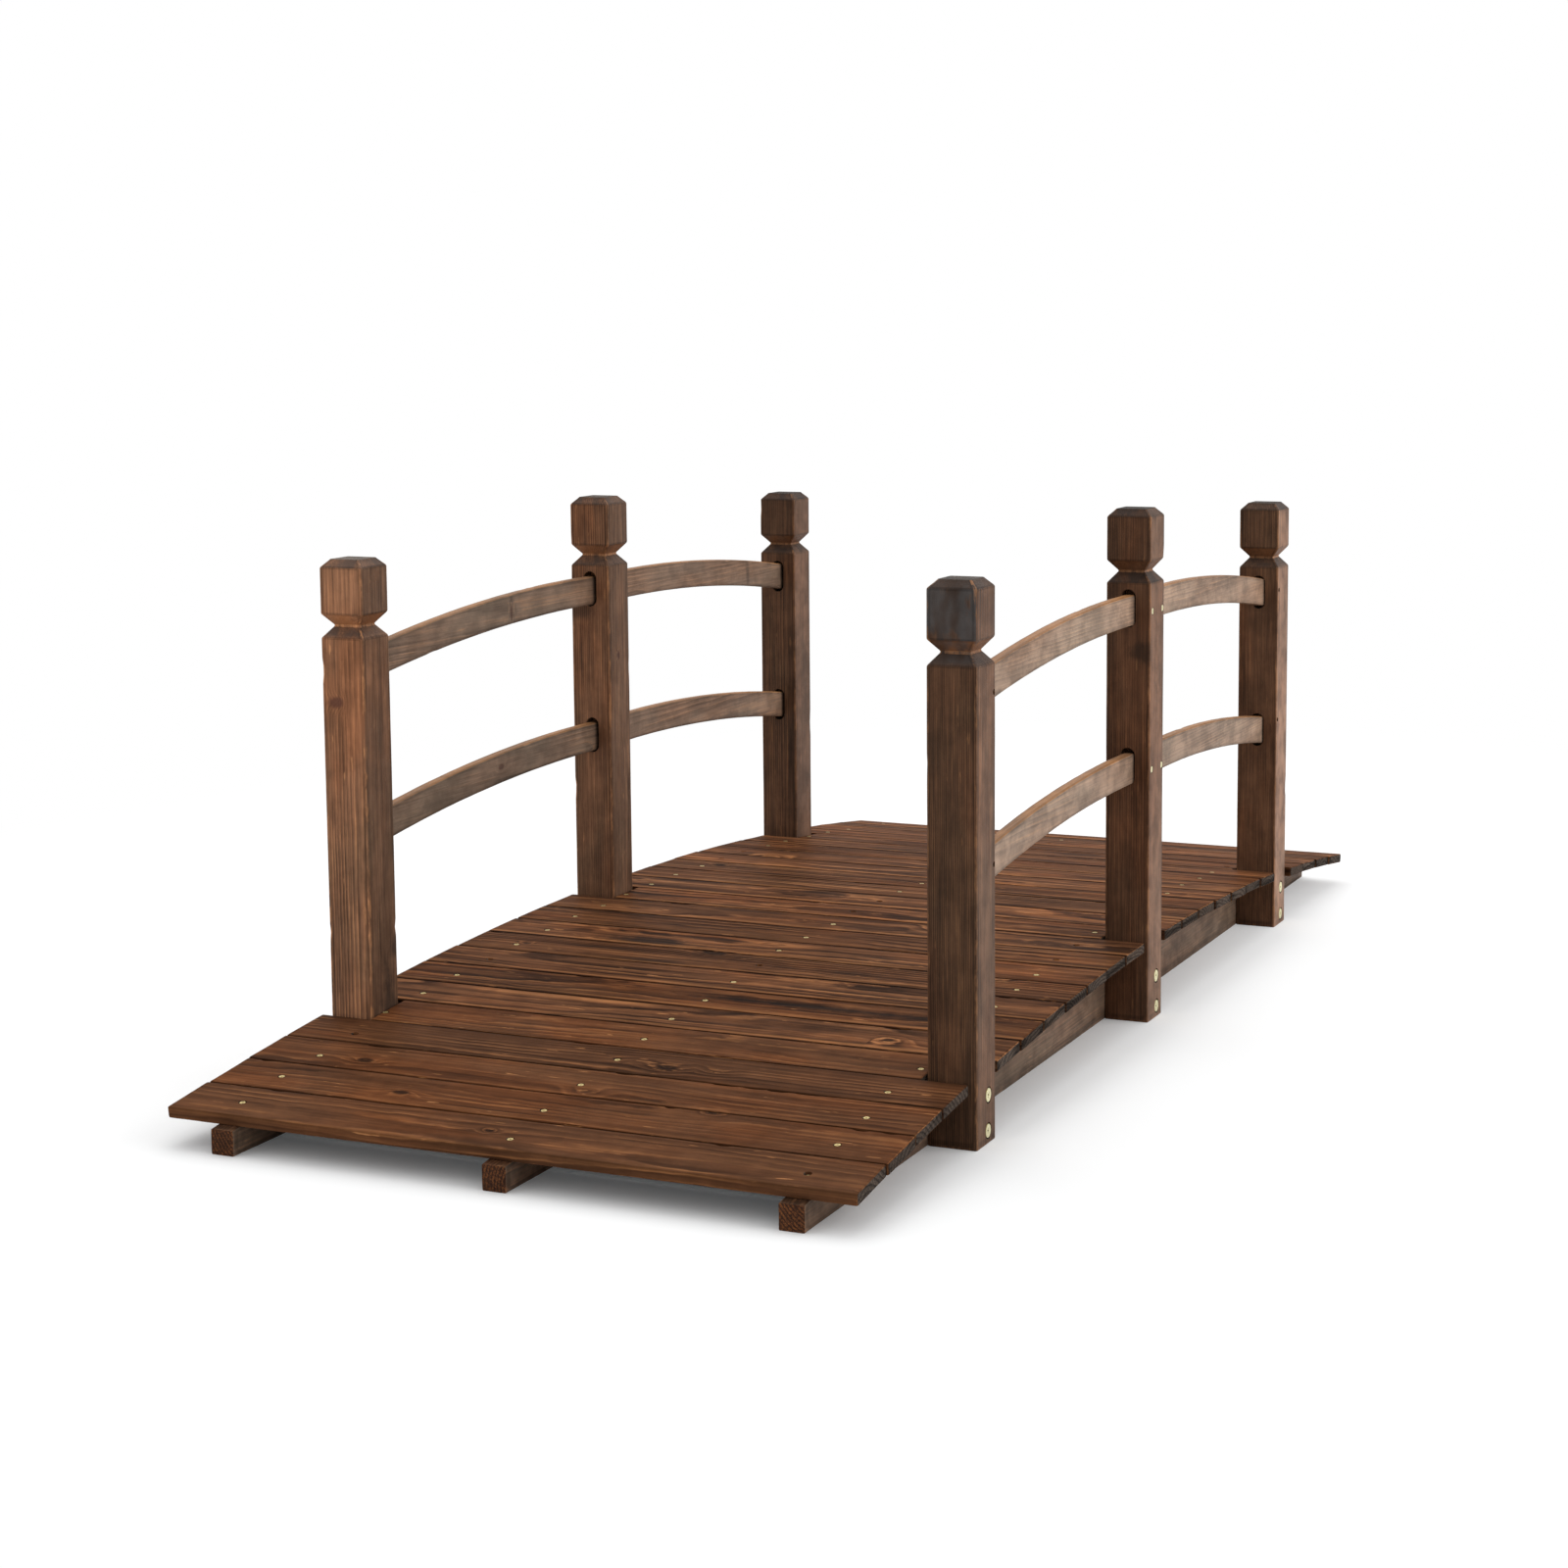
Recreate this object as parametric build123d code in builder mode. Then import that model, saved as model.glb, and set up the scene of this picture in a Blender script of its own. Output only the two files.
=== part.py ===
from build123d import *

import os
from math import asin, cos, sin, sqrt

# Low garden footbridge of carbonised softwood, in millimetres.
# +X runs along the bridge from its near end to its far end, +Y to its left and +Z up.
# The origin is on the ground at the centre of the bridge's footprint.
# Three straight-bottomed joists with arched top edges carry cross planks that follow the arch.
# Three pairs of posts stand on the ground against the outer joists.
# Two curved rails a bay on each side are housed in blind slots in the posts.

os.makedirs("parts", exist_ok=True)

# Deck planks, counted from the near end
plank_width = 58.4
plank_gap = 1.3
plank_thickness = 10.5
plank_edge_chamfer = 1.0
plank_reach_past_posts = 1.5
plank_skew = 4.5
short_plank_end_gap = 1.5
plank_seat_gap = 0.2
bay_planks = 7
end_planks = 4

# Joists
joist_thickness = 22.0
joist_end_height = 22.0
joist_rise = 50.0
joist_overhang = 9.4

# Posts
post_size = 45.0
clear_width = 549.0
end_post_height = 482.0
middle_post_height = 508.0
post_edge_round = 2.0
head_chamfer = 7.5
head_block_height = 42.5
neck_depth = 9.5
neck_half_height = 11.0

# Rails and the slots that house them
rail_thickness = 11.0
rail_height = 30.0
rail_edge_chamfer = 2.0
rail_radius = 2750.0
rail_crown_offset = 68.0
upper_rail_crown = 425.0
rail_spacing = 156.0
slot_depth = 14.5
slot_end_gap = 0.5
slot_side_gap = 2.0
rail_pull = 0.8
slot_seat_gap = 0.3
slot_headroom = 1.8

# Places along the bridge: a short plank lies between each pair of posts
plank_pitch = plank_width + plank_gap
post_pitch = (bay_planks + 1) * plank_pitch
middle_plank = end_planks + 1 + bay_planks
plank_count = 2 * middle_plank + 1
short_planks = (end_planks, middle_plank, plank_count - 1 - end_planks)
deck_half_length = plank_count * plank_pitch / 2 - plank_gap / 2
joist_half_length = deck_half_length + joist_overhang

# Places across the bridge
post_inner_face = clear_width / 2
post_centre_line = post_inner_face + post_size / 2
post_outer_face = post_inner_face + post_size
long_plank_length = 2 * (post_outer_face + plank_reach_past_posts)
short_plank_length = clear_width - 2 * short_plank_end_gap

# The arch of the joists' top edges, a circle through both ends and the crown
joist_crown_height = joist_end_height + joist_rise
joist_radius = (joist_half_length**2 + joist_rise**2) / (2 * joist_rise)


def level_plane(x, y):
    """A horizontal plane on the ground at x, y."""
    return Plane(origin=(x, y, 0))


def side_plane(x, y):
    """A vertical plane through x, y whose sketch runs along the bridge and up."""
    return Plane(origin=(x, y, 0), x_dir=(1, 0, 0), z_dir=(0, -1, 0))


def end_plane(x, y):
    """A vertical plane through x, y whose sketch runs across the bridge and up."""
    return Plane(origin=(x, y, 0), x_dir=(0, 1, 0), z_dir=(1, 0, 0))


# Joists: a flat sole on the ground, plumb ends and an arched top edge
joist_lines = {
    "joist_left": post_inner_face - joist_thickness / 2,
    "joist_middle": 0.0,
    "joist_right": joist_thickness / 2 - post_inner_face,
}


def make_joist(name, y):
    with BuildPart() as joist:
        with BuildSketch(side_plane(0, y)):
            with BuildLine():
                Polyline(
                    (-joist_half_length, joist_end_height),
                    (-joist_half_length, 0),
                    (joist_half_length, 0),
                    (joist_half_length, joist_end_height),
                )
                ThreePointArc(
                    (joist_half_length, joist_end_height),
                    (0, joist_crown_height),
                    (-joist_half_length, joist_end_height),
                )
            make_face()
        extrude(amount=joist_thickness / 2, both=True)
    joist.part.label = name
    export_step(joist.part, f"parts/{name}.step")


for joist_name, joist_y in joist_lines.items():
    make_joist(joist_name, joist_y)


# Planks: each lies tangent to the arch, on the joists' top edges
def plank_shift(index):
    """The long planks' ends drift evenly from left to right along the deck."""
    return 0 if index in short_planks else plank_skew * (middle_plank - index) / middle_plank


def plank_plane(index):
    """The plank's underside: tangent to the arch at the plank's own place."""
    lean = asin((index - middle_plank) * plank_pitch / joist_radius)
    reach = joist_radius + plank_seat_gap
    centre_height = joist_crown_height - joist_radius
    return Plane(
        origin=(reach * sin(lean), plank_shift(index), centre_height + reach * cos(lean)),
        x_dir=(cos(lean), 0, -sin(lean)),
        z_dir=(sin(lean), 0, cos(lean)),
    )


def make_plank(name, index):
    length = short_plank_length if index in short_planks else long_plank_length
    with BuildPart() as plank:
        with BuildSketch(plank_plane(index)):
            Rectangle(plank_width, length)
        extrude(amount=plank_thickness)
        top_face = plank.faces().sort_by(Axis.Z)[-1]
        chamfer(top_face.edges(), length=plank_edge_chamfer)
    plank.part.label = name
    export_step(plank.part, f"parts/{name}.step")


for plank_index in range(plank_count):
    make_plank(f"deck_plank_{plank_index + 1:02d}", plank_index)


# Rails: arcs about one centre a bay, with their crown near the middle post
rail_insertion = slot_depth - slot_end_gap
rail_start = post_size / 2 - rail_insertion
rail_end = post_pitch - post_size / 2 + rail_insertion
rail_levels = {"upper": upper_rail_crown, "lower": upper_rail_crown - rail_spacing}
bays = {"near": -1, "far": 1}
sides = {"left": 1, "right": -1}


def rail_edge(crown, x, inset=0.0):
    """Height of the rail's arc at x from the middle post, inset below its top edge."""
    return crown - rail_radius + sqrt((rail_radius - inset) ** 2 - (x - rail_crown_offset) ** 2)


def make_rail(name, crown, bay, side):
    """The rail's screws draw it towards the outer walls of its slots."""
    places = (rail_start, (rail_start + rail_end) / 2, rail_end)
    with BuildPart() as rail:
        with BuildSketch(side_plane(0, side * (post_centre_line + rail_pull))):
            with BuildLine():
                top = ThreePointArc([(bay * x, rail_edge(crown, x)) for x in places])
                sole = ThreePointArc([(bay * x, rail_edge(crown, x, rail_height)) for x in places])
                Line(top @ 0, sole @ 0)
                Line(top @ 1, sole @ 1)
            make_face()
        extrude(amount=rail_thickness / 2, both=True)
        chamfer(rail.edges().filter_by(GeomType.CIRCLE), length=rail_edge_chamfer)
    rail.part.label = name
    export_step(rail.part, f"parts/{name}.step")


for level, rail_crown in rail_levels.items():
    for bay_name, bay_sign in bays.items():
        for side_name, side_sign in sides.items():
            make_rail(f"rail_{level}_{bay_name}_{side_name}", rail_crown, bay_sign, side_sign)


# Slots: one round-ended cutter makes them all, long enough for the rail where it is steepest
slot_radius = rail_thickness / 2 + slot_side_gap


def round_end_rise(half_width):
    """How far above the slot's round lower end it is wide enough for this half width."""
    return slot_radius - sqrt(slot_radius**2 - half_width**2)


rail_seat_rise = max(
    round_end_rise(rail_thickness / 2 + rail_pull - rail_edge_chamfer),
    round_end_rise(rail_thickness / 2 + rail_pull) - rail_edge_chamfer,
)
steepest_span = rail_edge(0, rail_end - rail_insertion) - rail_edge(0, rail_end, rail_height)
slot_height = steepest_span + 2 * rail_seat_rise + slot_seat_gap + slot_headroom


def slot_bottom(crown, deepest_x):
    """The rail rests in the slot's round lower end where it reaches in furthest."""
    return rail_edge(crown, deepest_x, rail_height) - rail_seat_rise - slot_seat_gap


# Posts: square, with a mitred V neck under a block with chamfered top edges
def post_silhouette(height):
    """Corners of the post as seen from any side, across and up."""
    half = post_size / 2
    block_top = height - head_chamfer
    block_bottom = block_top - head_block_height
    shoulder = block_bottom - 2 * neck_half_height
    outline = [
        (half, 0),
        (half, shoulder),
        (half - neck_depth, shoulder + neck_half_height),
        (half, block_bottom),
        (half, block_top),
        (half - head_chamfer, height),
    ]
    return outline + [(-across, up) for across, up in reversed(outline)]


def make_post(name, x, side, height, slot_faces, deepest_x):
    y = side * post_centre_line
    with BuildPart() as post:
        with BuildSketch(level_plane(x, y)):
            RectangleRounded(post_size, post_size, post_edge_round)
        extrude(amount=height)
        for upright in (side_plane(x, y), end_plane(x, y)):
            with BuildSketch(upright):
                Polygon(*post_silhouette(height), align=None)
            extrude(amount=post_size / 2, both=True, mode=Mode.INTERSECT)
        for facing in slot_faces:
            for crown in rail_levels.values():
                slot_middle = slot_bottom(crown, deepest_x) + slot_height / 2
                with BuildSketch(end_plane(x + facing * post_size / 2, y)):
                    with Locations((0, slot_middle)):
                        SlotOverall(slot_height, 2 * slot_radius, rotation=90)
                extrude(amount=-facing * slot_depth, mode=Mode.SUBTRACT)
    post.part.label = name
    export_step(post.part, f"parts/{name}.step")


for side_name, side_sign in sides.items():
    make_post(f"post_near_{side_name}", -post_pitch, side_sign, end_post_height, (1,), rail_end)
    make_post(f"post_middle_{side_name}", 0, side_sign, middle_post_height, (-1, 1), rail_start)
    make_post(f"post_far_{side_name}", post_pitch, side_sign, end_post_height, (-1,), rail_end)
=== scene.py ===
import math

import bmesh
import bpy
import numpy as np
from mathutils import Matrix, Vector


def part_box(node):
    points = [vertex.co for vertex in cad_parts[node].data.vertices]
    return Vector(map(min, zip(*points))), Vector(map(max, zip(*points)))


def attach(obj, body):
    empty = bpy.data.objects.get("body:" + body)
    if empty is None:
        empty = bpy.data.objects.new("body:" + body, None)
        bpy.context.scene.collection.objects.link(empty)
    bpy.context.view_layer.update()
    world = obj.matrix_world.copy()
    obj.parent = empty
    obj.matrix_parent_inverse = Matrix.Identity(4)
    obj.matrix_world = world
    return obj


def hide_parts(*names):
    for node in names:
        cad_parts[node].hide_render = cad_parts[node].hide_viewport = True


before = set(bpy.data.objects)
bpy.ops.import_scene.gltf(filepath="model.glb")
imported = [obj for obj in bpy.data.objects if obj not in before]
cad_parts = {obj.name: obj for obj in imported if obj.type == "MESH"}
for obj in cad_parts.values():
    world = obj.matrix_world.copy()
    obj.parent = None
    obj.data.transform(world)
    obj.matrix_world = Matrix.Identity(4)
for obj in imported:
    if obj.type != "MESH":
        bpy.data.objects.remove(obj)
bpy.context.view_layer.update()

# Sizes in metres, as the bridge's own timbers have them
plank_width = 0.0584
plank_thickness = 0.0105
plank_pitch = 0.0597
plank_count = 25
middle_plank = 12
front_planks = 5
joist_thickness = 0.022
joist_end_height = 0.022
joist_edge_round = 0.0008
rail_thickness = 0.011
rail_height = 0.030
rail_radius = 2.750
rail_crown_offset = 0.068
rail_spacing = 0.156
deck_screw_radius = 0.0028
foot_screw_radius = 0.0063
rail_screw_radius = 0.0034
rail_insertion = 0.014
post_size = 0.045
head_chamfer = 0.0075
head_block_height = 0.0425
neck_depth = 0.0095
neck_half_height = 0.011
post_edge_round = 0.002
slot_depth = 0.0145
plank_seat_gap = 0.0002

# Places read from the frame
places_along = {"near": -1, "middle": 0, "far": 1}
post_names = [f"post_{place}_{side}" for place in places_along for side in ("left", "right")]
rail_names = [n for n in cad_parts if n.startswith("rail_")]
joist_names = [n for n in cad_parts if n.startswith("joist_")]
post_low, post_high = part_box("post_far_left")
post_pitch = (post_low.x + post_high.x) / 2
post_line = (post_low.y + post_high.y) / 2
joist_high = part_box("joist_middle")[1]
joist_half_length = joist_high.x
joist_crown = joist_high.z
joist_rise = joist_crown - joist_end_height
joist_radius = (joist_half_length**2 + joist_rise**2) / (2 * joist_rise)


# Small helpers for uneven, hand-worked edges
def wander(rng, count, knots, low=-1.0, high=1.0):
    """A smooth random line of count values through a few random knots."""
    knots = max(knots, 4)
    values = rng.uniform(low, high, knots)
    place = np.linspace(0, knots - 1, count)
    left = np.clip(place.astype(int), 0, knots - 2)
    blend = place - left
    blend = blend * blend * (3 - 2 * blend)
    return values[left] * (1 - blend) + values[left + 1] * blend


def chipped_edge(rng, count, length, wear_depth, chips, chip_depth):
    """How far an arris is worn back along its length: soft wear and a few short chips."""
    slow = wander(rng, count, int(length / 0.06))
    quick = wander(rng, count, int(length / 0.012))
    worn = wear_depth * (0.5 + 0.35 * slow + 0.25 * quick)
    along = np.linspace(0, length, count)
    for _ in range(rng.poisson(chips * length)):
        centre = rng.uniform(0, length)
        half = rng.uniform(0.003, 0.011)
        deep = chip_depth * rng.uniform(0.4, 1.0)
        worn = np.maximum(worn, deep * np.exp(-(((along - centre) / half) ** 4)))
    return np.clip(worn, 0, None)


def side_steps(span, fine, count):
    """Shares along a side: points close to both corners, then even steps between."""
    near = [step / span for step in fine if step < span / 2.2]
    inset = near[-1] if near else 0.0
    middle = list(np.linspace(inset, 1 - inset, count + 1)[1:-1])
    return near + middle + [1 - share for share in reversed(near)]


def rounded_ring(half_a, half_b, radius, sides_a, sides_b, fine=(), corner_steps=4, reach=0.0007):
    """A rounded rectangle as points, with which corner each point is near and how near."""
    points, corner, nearness = [], [], []
    signs = ((1, -1), (1, 1), (-1, 1), (-1, -1))
    starts = (-90, 0, 90, 180)
    for index, ((sign_a, sign_b), start) in enumerate(zip(signs, starts)):
        for step in range(corner_steps + 1):
            turn = math.radians(start + 90 * step / corner_steps)
            points.append((
                sign_a * (half_a - radius) + radius * math.cos(turn),
                sign_b * (half_b - radius) + radius * math.sin(turn),
            ))
            corner.append(index)
            nearness.append(1.0)
        upright = index % 2 == 0
        after = signs[(index + 1) % 4]
        first = points[-1]
        last = (
            after[0] * (half_a - (0 if upright else radius)),
            after[1] * (half_b - (radius if upright else 0)),
        )
        span = math.dist(first, last)
        for share in side_steps(span, fine, sides_b if upright else sides_a):
            points.append(tuple(a + (b - a) * share for a, b in zip(first, last)))
            near_start = share < 0.5
            gap = span * (share if near_start else 1 - share)
            corner.append(index if near_start else (index + 1) % 4)
            nearness.append(math.exp(-gap / reach))
    return np.array(points), np.array(corner), np.array(nearness)


def link(piece):
    bpy.context.scene.collection.objects.link(piece)
    return piece


def lofted(name, rings, wear, rim=None):
    """A closed mesh through rings of points, with how worn and how near an arris each point is."""
    stations, around, _ = rings.shape
    mesh = bpy.data.meshes.new(name)
    corners = np.arange(stations * around).reshape(stations, around)
    here, beside = corners[:-1], np.roll(corners, -1, axis=1)[:-1]
    above, above_beside = corners[1:], np.roll(corners, -1, axis=1)[1:]
    quads = np.stack([here, beside, above_beside, above], axis=-1).reshape(-1, 4)
    faces = [tuple(int(i) for i in quad) for quad in quads]
    faces.append(tuple(int(i) for i in corners[0][::-1]))
    faces.append(tuple(int(i) for i in corners[-1]))
    mesh.from_pydata(rings.reshape(-1, 3).tolist(), [], faces)
    for label, values in (("wear", wear), ("rim", rim)):
        if values is not None:
            layer = mesh.attributes.new(label, "FLOAT", "POINT")
            layer.data.foreach_set("value", np.clip(values, 0, 1).reshape(-1).astype(np.float32))
    mesh.validate()
    fixed = bmesh.new()
    fixed.from_mesh(mesh)
    bmesh.ops.recalc_face_normals(fixed, faces=fixed.faces)
    fixed.to_mesh(mesh)
    fixed.free()
    mesh.shade_smooth()
    return link(bpy.data.objects.new(name, mesh))


def cut(piece, cutters):
    """Cuts closed shapes out of a piece and deletes them."""
    for cutter in cutters:
        modifier = piece.modifiers.new("cut", "BOOLEAN")
        modifier.operation = "DIFFERENCE"
        modifier.solver = "EXACT"
        modifier.object = cutter
    seen = bpy.context.evaluated_depsgraph_get()
    made = bpy.data.meshes.new_from_object(piece.evaluated_get(seen))
    piece.modifiers.clear()
    old = piece.data
    piece.data = made
    bpy.data.meshes.remove(old)
    for cutter in cutters:
        bpy.data.objects.remove(cutter)


def arris_wear(back, touched, share=0.5, least=0.5):
    """How pale the points near an arris are where it is worn back this far."""
    deep = 0.0012
    return (np.clip(back / deep, 0, 1)[:, None] * share + least) * touched[None]


def worn_back(back, touched, ring):
    """How far the points near an arris move, across and up."""
    return (back[:, None] * touched[None])[..., None] * np.sign(ring)[None]


def sharpen(piece, angle=35):
    """Keeps arrises crisp where faces meet at more than an angle."""
    piece.data.set_sharp_from_angle(angle=math.radians(angle))


# Materials: one graph of nodes per kind of timber
def colour(red, green, blue):
    """A colour as it shows on a screen, from 0 to 255, as linear light."""
    def linear(value):
        value /= 255
        return value / 12.92 if value <= 0.04045 else ((value + 0.055) / 1.055) ** 2.4
    return (linear(red), linear(green), linear(blue), 1.0)


class Graph:
    """Short words for the nodes of one material or world."""

    def __init__(self, owner, output="ShaderNodeOutputMaterial"):
        owner.use_nodes = True
        self.owner = owner
        self.tree = owner.node_tree
        self.tree.nodes.clear()
        self.out = self.node(output)

    def node(self, kind, **settings):
        made = self.tree.nodes.new(kind)
        for key, value in settings.items():
            setattr(made, key, value)
        return made

    def feed(self, socket, value):
        if isinstance(value, bpy.types.NodeSocket):
            self.tree.links.new(value, socket)
        else:
            socket.default_value = value

    def fed(self, kind, *values, **settings):
        """A node with its first inputs fed in order."""
        made = self.node(kind, **settings)
        for socket, value in zip(made.inputs, values):
            self.feed(socket, value)
        return made

    def math(self, operation, first, second=0.0):
        return self.fed("ShaderNodeMath", first, second, operation=operation).outputs[0]

    def times(self, first, *others):
        for other in others:
            first = self.math("MULTIPLY", first, other)
        return first

    def plus(self, first, *others):
        for other in others:
            first = self.math("ADD", first, other)
        return first

    def less(self, first, second):
        return self.math("SUBTRACT", first, second)

    def most(self, first, second):
        return self.math("MAXIMUM", first, second)

    def least(self, first, second):
        return self.math("MINIMUM", first, second)

    def power(self, first, second):
        return self.math("POWER", first, second)

    def attribute(self, name):
        return self.node("ShaderNodeAttribute", attribute_name=name).outputs["Fac"]

    def vector(self, x, y, z):
        return self.fed("ShaderNodeCombineXYZ", x, y, z).outputs[0]

    def scaled(self, vector, factor):
        made = self.fed("ShaderNodeVectorMath", vector, operation="SCALE")
        self.feed(made.inputs["Scale"], factor)
        return made.outputs[0]

    def split(self, vector):
        return self.fed("ShaderNodeSeparateXYZ", vector).outputs

    def noise(self, vector, detail=2.0, roughness=0.5, shift=0.0):
        values = (vector, shift, 1.0, detail, roughness)
        return self.fed("ShaderNodeTexNoise", *values, noise_dimensions="4D").outputs[0]

    def range(self, value, low, high, new_low=0.0, new_high=1.0, smooth=True):
        values = (value, low, high, new_low, new_high)
        curve = "SMOOTHSTEP" if smooth else "LINEAR"
        return self.fed("ShaderNodeMapRange", *values, interpolation_type=curve).outputs[0]

    def gap_to(self, place, spots):
        """Distance to the nearest of a few chosen spots, each in units of its own half sizes."""
        nearest = None
        for centre, half_sizes in spots:
            local = self.fed("ShaderNodeMapping", place, vector_type="TEXTURE")
            local.inputs["Location"].default_value = centre
            local.inputs["Scale"].default_value = half_sizes
            gap = self.fed("ShaderNodeVectorMath", local.outputs[0], operation="LENGTH")
            distance = gap.outputs["Value"]
            nearest = distance if nearest is None else self.least(nearest, distance)
        return nearest

    def ramp(self, value, stops):
        made = self.fed("ShaderNodeValToRGB", value)
        band = made.color_ramp
        while len(band.elements) < len(stops):
            band.elements.new(0.5)
        for element, (place, tint) in zip(band.elements, stops):
            element.position = place
            element.color = tint
        return made.outputs[0]

    def mix(self, share, first, second, blend="MIX"):
        made = self.node("ShaderNodeMix", data_type="RGBA", blend_type=blend, clamp_factor=True)
        self.feed(made.inputs[0], share)
        self.feed(made.inputs[6], first)
        self.feed(made.inputs[7], second)
        return made.outputs[2]

    def bump(self, height, strength, distance):
        made = self.node("ShaderNodeBump")
        made.inputs["Strength"].default_value = strength
        made.inputs["Distance"].default_value = distance
        self.feed(made.inputs["Height"], height)
        return made.outputs[0]

    def finish(self, tint, rough, normal, constant, value):
        """The surface shader, with one of its constants set on its own socket."""
        shader = self.node("ShaderNodeBsdfPrincipled")
        self.feed(shader.inputs["Base Color"], tint)
        self.feed(shader.inputs["Roughness"], rough)
        self.feed(shader.inputs["Normal"], normal)
        shader.inputs[constant].default_value = value
        self.feed(self.out.inputs[0], shader.outputs[0])
        return self.owner


knots_a_metre = 15.0
even_side = 0.5
head_starts = 0.424


def timber_material(name, size, order, look):
    """Brushed, carbonised softwood; order names the axes along and across the grain.

    Each piece's object colour holds its brightness, char, the painted light on its right side and a
    seed.
    """
    g = Graph(bpy.data.materials.new(name))
    coordinates = g.node("ShaderNodeTexCoord")
    in_bridge = coordinates.outputs["Object"]
    in_piece = coordinates.outputs["Generated"]
    axes = g.split(g.fed("ShaderNodeVectorMath", in_piece, size, operation="MULTIPLY").outputs[0])
    along, across, depth = (axes["XYZ".index(axis)] for axis in order)
    across = g.less(across, size["XYZ".index(order[1])] / 2)
    depth = g.less(depth, size["XYZ".index(order[2])] / 2)
    info = g.node("ShaderNodeObjectInfo")
    tone, char, pale = g.split(info.outputs["Color"])
    seed = g.times(info.outputs["Alpha"], 97.0)
    luck = g.node("ShaderNodeTexWhiteNoise", noise_dimensions="1D")
    g.feed(luck.inputs["W"], seed)
    luck_a, luck_b, luck_c = g.split(luck.outputs["Color"])
    normal = g.split(coordinates.outputs["Normal"])
    sideways = g.range(g.times(normal[1], -1.0), 0.5, 0.9)

    def grain(stretch, spread, detail=2.0, roughness=0.55, shift=0.0):
        """Noise with so many waves a metre along the grain and across it."""
        place = g.vector(g.times(along, stretch), g.times(across, spread), g.times(depth, spread))
        return g.noise(place, detail, roughness, g.plus(seed, shift))

    def tinted(factor):
        return g.mix(1.0, tint, factor, "MULTIPLY")

    # Knots sit at scattered and at chosen places and push the rings aside
    jitter = g.less(grain(60, 200), 0.5)
    knot_place = g.vector(g.times(along, 0.6), across, g.plus(depth, seed))
    knot_field = g.fed("ShaderNodeTexVoronoi", knot_place, feature="F1", distance="EUCLIDEAN")
    knot_field.inputs["Scale"].default_value = knots_a_metre
    knot_gap = g.plus(knot_field.outputs["Distance"], g.times(jitter, 0.05))
    knot_luck = g.split(knot_field.outputs["Color"])[0]
    knot_here = g.range(knot_luck, 1.0 - look["knots"], 1.02 - look["knots"])
    scattered_push = g.power(g.range(knot_gap, 0.0, 0.36, 1.0, 0.0, smooth=False), 2.0)
    knot_push = g.times(scattered_push, knot_here)
    knot_core = g.times(g.range(knot_gap, 0.03, 0.09, 1.0, 0.0), knot_here)
    chosen_gap = g.plus(g.gap_to(in_bridge, look["knot_spots"]), g.times(jitter, 0.7))
    chosen_push = g.power(g.range(chosen_gap, 0.0, look["knot_reach"], 1.0, 0.0, smooth=False), 2.0)
    knot_push = g.most(knot_push, chosen_push)
    knot_core = g.most(knot_core, g.range(chosen_gap, 0.55, 1.15, 1.0, 0.0))
    knot_rim = g.times(g.range(knot_push, 0.42, 0.6), g.less(1.0, knot_core))

    # Annual rings about a pith line beside the piece, cut into arches by slow bends
    pith_across = g.times(g.less(luck_a, 0.5), 0.07)
    pith_depth = g.plus(g.times(luck_b, 0.05), 0.015)
    bend = grain(look["bend_along"], look["bend_across"], 1.5, 0.45)
    ripple = grain(26.0, 70.0, 2.0)
    side = g.power(g.math("ABSOLUTE", g.plus(across, pith_across)), 2.0)
    deep = g.power(g.plus(depth, pith_depth), 2.0)
    radius = g.math("SQRT", g.plus(side, deep))
    rings = g.math("DIVIDE", radius, look["ring_width"])
    rings = g.plus(rings, g.times(bend, look["bend"]))
    rings = g.plus(rings, g.times(ripple, look["ripple"]))
    rings = g.plus(rings, g.times(knot_push, look["knot_bend"]))
    ring = g.math("FRACT", rings)
    late = g.times(g.range(ring, 0.45, 0.84), g.range(ring, 0.9, 0.99, 1.0, 0.0))
    ridge = g.times(g.range(ring, 0.0, 0.06), g.range(ring, 0.12, 0.36, 1.0, 0.0))
    ring_show = g.range(grain(5.0, 24.0, 1.5, shift=3.0), 0.38, 0.6, 0.2, 1.0)
    ring_show = g.plus(ring_show, g.times(knot_push, 0.5))

    # Fibres: long thin streaks of three widths, over slow clouds
    width, length = look["fibre"], look["fibre_length"]
    fine = grain(34.0 / length, 900.0 * width, 2.0, 0.6)
    medium = grain(15.0 / length, 420.0 * width, 2.0, 0.6, shift=1.0)
    coarse = grain(6.0 / length, 150.0 * width, 2.0, 0.6, shift=2.0)
    cloud = grain(8.0, 30.0, 3.0)
    own_hue = g.times(g.less(luck_c, 0.5), 0.16)
    hue = g.plus(grain(6.0, 20.0, 3.0, shift=7.0), own_hue)
    streak = g.plus(g.times(fine, look["fine_share"]), g.times(medium, 0.42))
    streak = g.plus(streak, g.times(coarse, 0.58 - look["fine_share"]))
    bold = g.range(char, 0.1, 0.5, look["calm"], 1.0)
    value = g.times(g.less(streak, 0.5), look["streak"], bold)
    value = g.plus(value, g.times(g.less(cloud, 0.5), look["cloud"]))
    contour = g.less(g.times(ridge, 0.5), late)
    contour = g.times(contour, bold, look["ring_depth"])
    value = g.plus(value, g.times(contour, ring_show))
    tint = g.ramp(g.plus(value, 0.5), look["ramp"])
    tint = g.mix(g.range(hue, 0.5, 0.66, 0.0, look["hue_share"]), tint, tinted(look["warm"]))
    tint = g.mix(g.range(hue, 0.36, 0.5, look["hue_share"], 0.0), tint, tinted(look["cool"]))

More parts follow.
